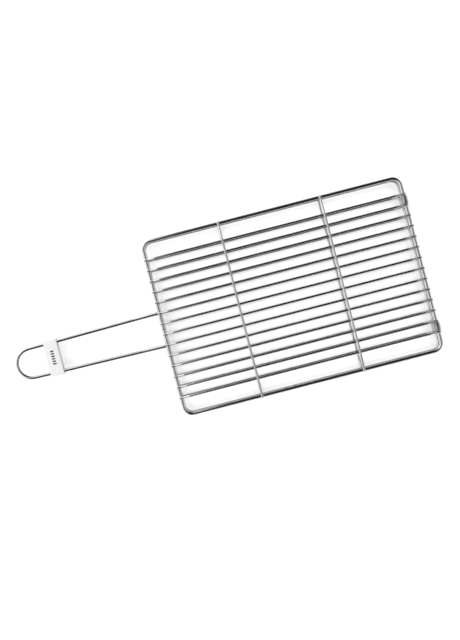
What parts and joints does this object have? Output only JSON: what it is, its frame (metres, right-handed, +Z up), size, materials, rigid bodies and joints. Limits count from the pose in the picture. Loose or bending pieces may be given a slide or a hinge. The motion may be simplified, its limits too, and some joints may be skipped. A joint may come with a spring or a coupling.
{
  "type": "grill basket",
  "caption": "Hinged double wire grill basket with a long loop handle and a sliding band that locks its halves together.",
  "frame": {"origin": "middle of the whole object's footprint, on the surface that the closed basket lies on", "axes": "+X from the handle's end towards the hinge end, along the object's length; +Y across the basket; +Z up, out of the upper grid"},
  "size_m": [0.5485, 0.236, 0.0432],
  "materials": {
    "chrome_wire": "bright chrome plate on drawn steel wire, with small weld beads where wires cross",
    "link_sheet": "chrome-plated rolled steel strip, slightly duller than the wire",
    "band_sheet": "pale satin sheet steel with stamped ribs"
  },
  "bodies": {
    "lower_half": {"lower_frame": "chrome_wire", "lower_rod_01": "chrome_wire", "lower_rod_02": "chrome_wire", "lower_rod_03": "chrome_wire", "lower_rod_04": "chrome_wire", "lower_rod_05": "chrome_wire", "lower_rod_06": "chrome_wire", "lower_rod_07": "chrome_wire", "lower_rod_08": "chrome_wire", "lower_rod_09": "chrome_wire", "lower_rod_10": "chrome_wire", "lower_rod_11": "chrome_wire", "lower_rod_12": "chrome_wire", "lower_rod_13": "chrome_wire", "lower_rod_14": "chrome_wire", "lower_cross_rod_1": "chrome_wire", "lower_cross_rod_2": "chrome_wire", "lower_handle_prong_left": "chrome_wire", "lower_handle_prong_right": "chrome_wire"},
    "hinge_links": {"hinge_link_left": "link_sheet", "hinge_link_right": "link_sheet"},
    "upper_half": {"upper_frame": "chrome_wire", "upper_rod_01": "chrome_wire", "upper_rod_02": "chrome_wire", "upper_rod_03": "chrome_wire", "upper_rod_04": "chrome_wire", "upper_rod_05": "chrome_wire", "upper_rod_06": "chrome_wire", "upper_rod_07": "chrome_wire", "upper_rod_08": "chrome_wire", "upper_rod_09": "chrome_wire", "upper_rod_10": "chrome_wire", "upper_rod_11": "chrome_wire", "upper_rod_12": "chrome_wire", "upper_rod_13": "chrome_wire", "upper_rod_14": "chrome_wire", "upper_cross_rod_1": "chrome_wire", "upper_cross_rod_2": "chrome_wire", "upper_handle_loop": "chrome_wire"},
    "sliding_band": {"sliding_band": "band_sheet"}
  },
  "joints": [
    {"name": "link_swing", "type": "hinge", "parent": "lower_half", "child": "hinge_links", "pos_m": [0.27025, 0, 0.0116], "axis": [0, 1, 0], "range_deg": [0, 90]},
    {"name": "lid_swing", "type": "hinge", "parent": "hinge_links", "child": "upper_half", "pos_m": [0.27025, 0, 0.0316], "axis": [0, 1, 0], "range_deg": [0, 90]},
    {"name": "band_slide", "type": "slide", "parent": "upper_half", "child": "sliding_band", "axis": [1, 0, 0], "range_m": [-0.039, 0.018]}
  ]
}
